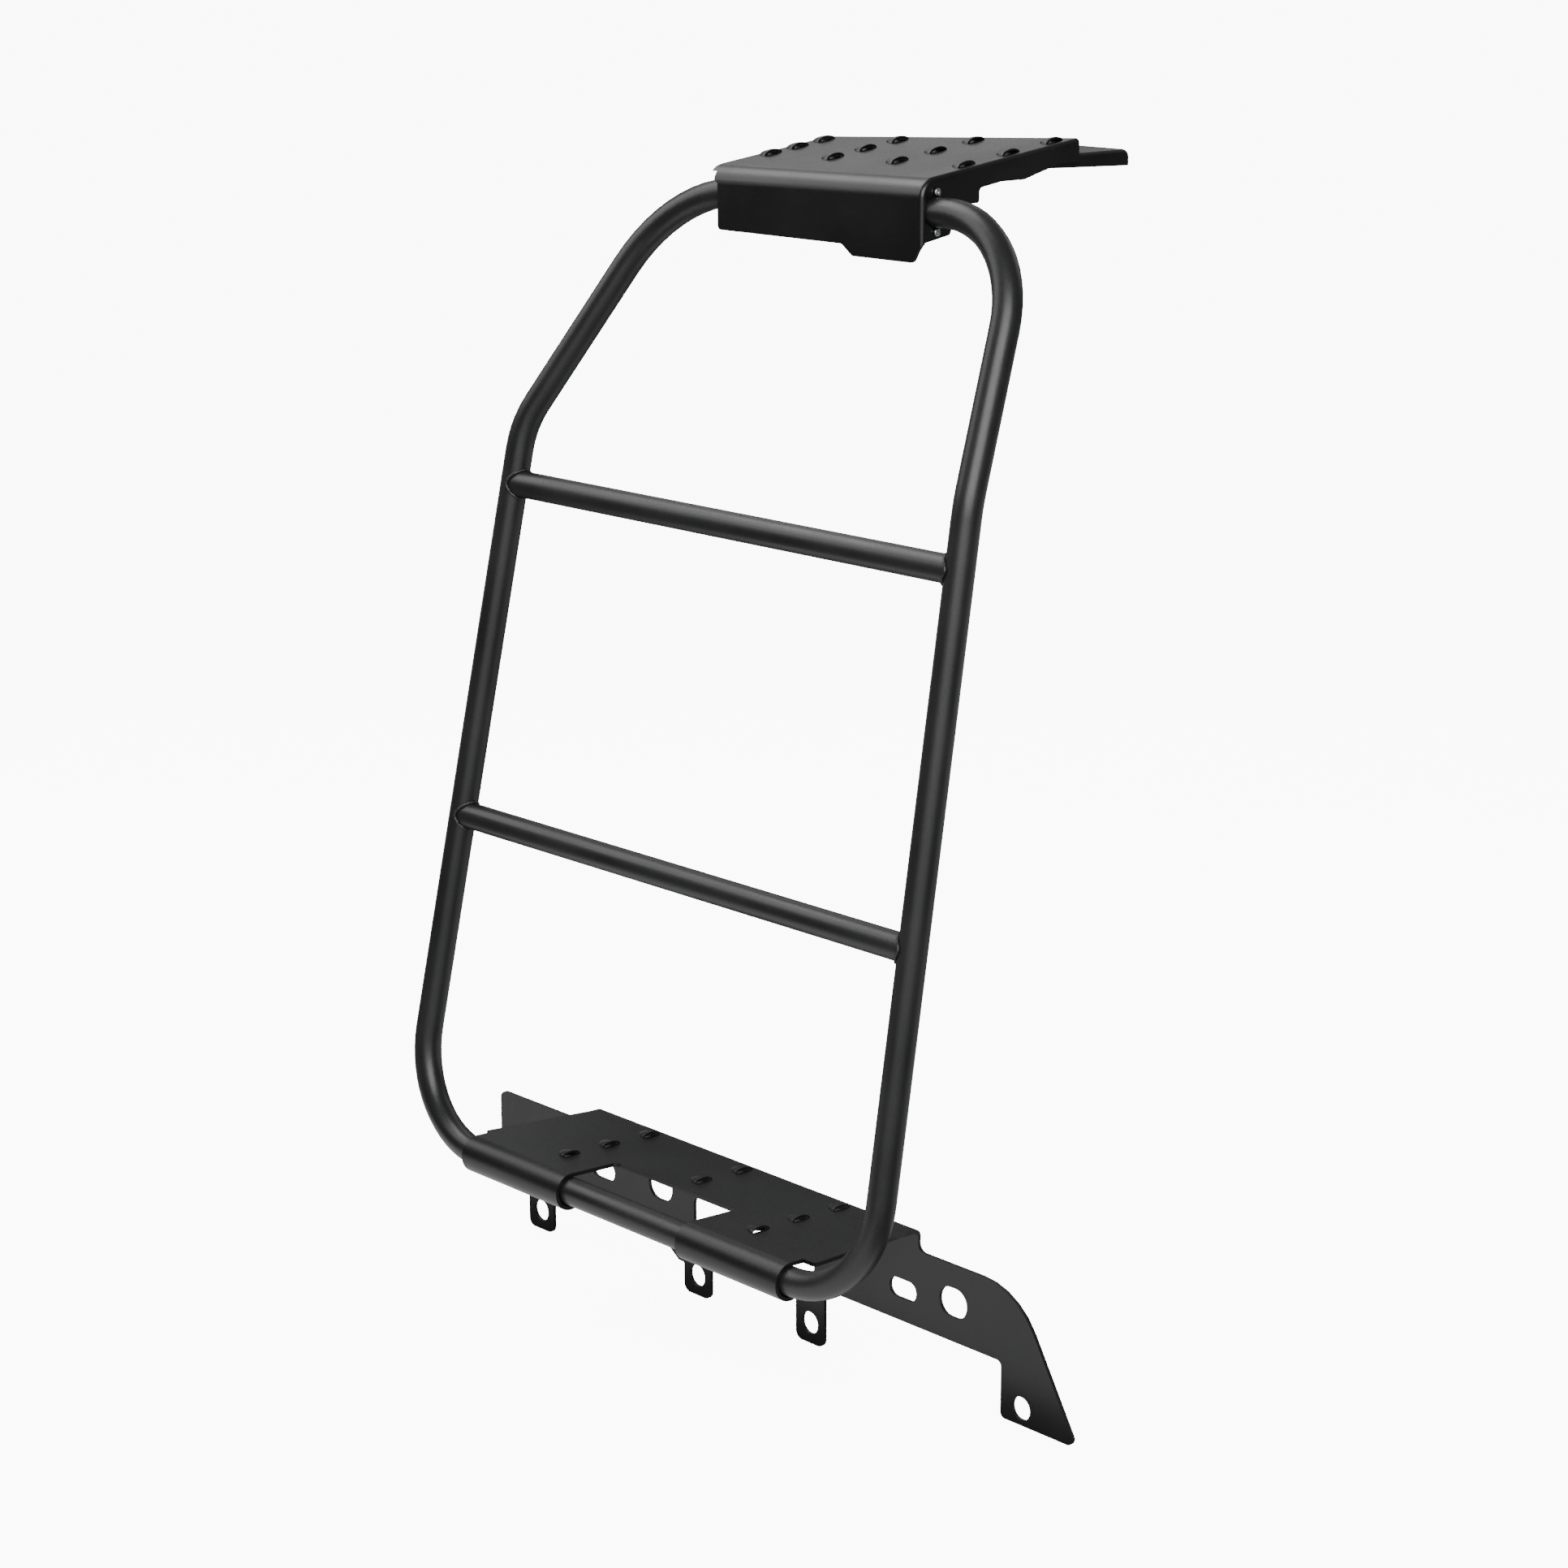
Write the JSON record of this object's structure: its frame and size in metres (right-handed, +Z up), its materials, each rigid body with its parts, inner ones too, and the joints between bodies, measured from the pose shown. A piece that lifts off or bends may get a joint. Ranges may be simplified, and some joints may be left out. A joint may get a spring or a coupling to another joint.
{
  "type": "tailgate step",
  "caption": "Black rear-door ladder step: a bent tube hoop with rungs, a folded top step with a rear hook and a folded bottom step with a drilled rear flange.",
  "frame": {"origin": "on the rear face of the bottom step's rear flange, above its window and midway along the step", "axes": "+X along the rungs towards the flange's tail, +Y out of the rear flange towards the vehicle, +Z up"},
  "size_m": [0.7609, 0.4411, 1.0605],
  "materials": {
    "black_coat": "satin black powder coat",
    "zinc": "bright zinc plate",
    "nylon": "matt black nylon",
    "rubber": "matt black rubber"
  },
  "bodies": {
    "root": {"hoop_tube": "black_coat", "lower_rung": "black_coat", "upper_rung": "black_coat", "bottom_step": "black_coat", "top_step": "black_coat", "rear_hook": "black_coat", "left_clamp_bracket": "black_coat", "hook_pad": "rubber", "left_clamp_insert": "nylon", "right_clamp_insert": "nylon", "screw_right_lower": "zinc", "washer_right_lower": "zinc", "nut_right_lower": "zinc", "screw_left_lower": "zinc", "washer_left_lower": "zinc", "nut_left_lower": "zinc", "screw_right_upper": "zinc", "washer_right_upper": "zinc", "nut_right_upper": "zinc", "screw_left_upper": "zinc", "washer_left_upper": "zinc", "nut_left_upper": "zinc"}
  },
  "joints": []
}
